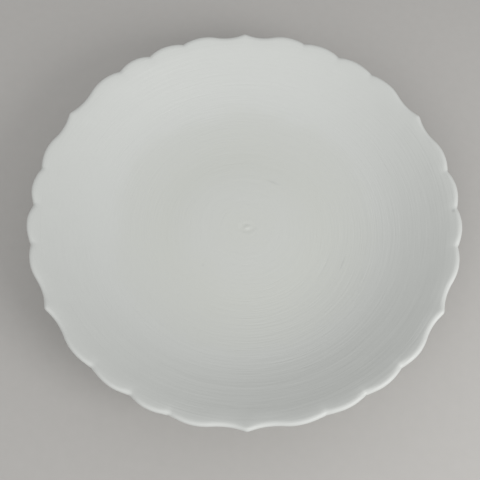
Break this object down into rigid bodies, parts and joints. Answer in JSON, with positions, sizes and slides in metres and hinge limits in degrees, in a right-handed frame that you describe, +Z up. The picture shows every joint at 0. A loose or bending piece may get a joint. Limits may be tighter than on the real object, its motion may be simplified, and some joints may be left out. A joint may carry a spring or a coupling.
{
  "type": "deep plate",
  "caption": "Matt white stoneware deep plate with a shallow well, a wide sloping wall and a scalloped rim with pointed tips, standing on a foot ring.",
  "frame": {"origin": "on the table under the middle of the plate, at the level of the foot ring's standing face", "axes": "+Z up along the plate's axis of turning; one pointed tip of the rim lies toward +Y; +X lies over a notch between two lobes"},
  "size_m": [0.241, 0.2412, 0.0448],
  "materials": {
    "stoneware": "bare fired clay",
    "fired_slip": "bare fired clay",
    "matt_glaze": "matt white glaze"
  },
  "bodies": {
    "root": {"clay_body": "stoneware", "foot_ring": "stoneware", "luting_slip": "fired_slip", "face_glaze": "matt_glaze", "back_glaze": "matt_glaze", "foot_well_glaze": "matt_glaze"}
  },
  "joints": []
}
